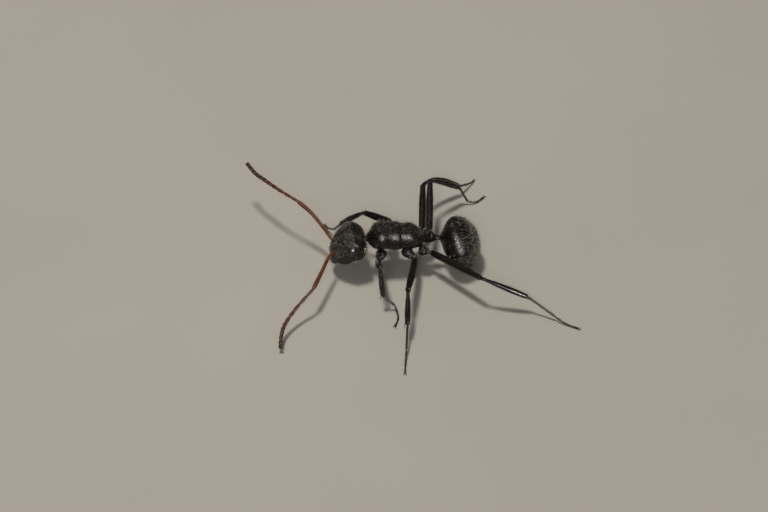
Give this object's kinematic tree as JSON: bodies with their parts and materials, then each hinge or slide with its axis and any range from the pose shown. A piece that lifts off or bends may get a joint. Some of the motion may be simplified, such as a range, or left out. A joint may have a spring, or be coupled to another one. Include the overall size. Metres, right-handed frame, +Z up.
{
  "type": "carpenter ant",
  "caption": "Still, life-size worker ant with a round black head, narrow waist, short downy hind body, elbowed feelers and slender jointed legs, standing on its feet.",
  "frame": {"origin": "on the floor under the middle of the whole ant's bounding box, feelers and feet included", "axes": "+X the ant's left side, -Y ahead of it, +Z up from the floor"},
  "size_m": [0.0136, 0.016, 0.0031],
  "materials": {
    "body_shell": "dull black shell, finely pitted, with short pale hairs",
    "leg_shell": "satin black-brown shell, redder towards the feet",
    "feeler_shell": "satin red-brown shell, darker towards the tip",
    "eye": "glossy black, finely faceted"
  },
  "bodies": {
    "root": {"basitarsus_front_left": "leg_shell", "basitarsus_front_right": "leg_shell", "basitarsus_hind_left": "leg_shell", "basitarsus_hind_right": "leg_shell", "basitarsus_middle_left": "leg_shell", "basitarsus_middle_right": "leg_shell", "coxa_front_left": "leg_shell", "coxa_front_right": "leg_shell", "coxa_hind_left": "leg_shell", "coxa_hind_right": "leg_shell", "coxa_middle_left": "leg_shell", "coxa_middle_right": "leg_shell", "eye_left": "eye", "eye_right": "eye", "femur_front_left": "leg_shell", "femur_front_right": "leg_shell", "femur_hind_left": "leg_shell", "femur_hind_right": "leg_shell", "femur_middle_left": "leg_shell", "femur_middle_right": "leg_shell", "foot_front_left": "leg_shell", "foot_front_right": "leg_shell", "foot_hind_left": "leg_shell", "foot_hind_right": "leg_shell", "foot_middle_left": "leg_shell", "foot_middle_right": "leg_shell", "funiculus_base_left": "feeler_shell", "funiculus_base_right": "feeler_shell", "funiculus_tip_left": "feeler_shell", "funiculus_tip_right": "feeler_shell", "gaster_1": "body_shell", "gaster_2": "body_shell", "gaster_3": "body_shell", "gaster_4": "body_shell", "gaster_5": "body_shell", "head": "body_shell", "mandible_left": "body_shell", "mandible_right": "body_shell", "mesothorax": "body_shell", "neck": "body_shell", "petiole": "body_shell", "pronotum": "body_shell", "propodeum": "body_shell", "scape_left": "feeler_shell", "scape_right": "feeler_shell", "tibia_front_left": "leg_shell", "tibia_front_right": "leg_shell", "tibia_hind_left": "leg_shell", "tibia_hind_right": "leg_shell", "tibia_middle_left": "leg_shell", "tibia_middle_right": "leg_shell"}
  },
  "joints": []
}
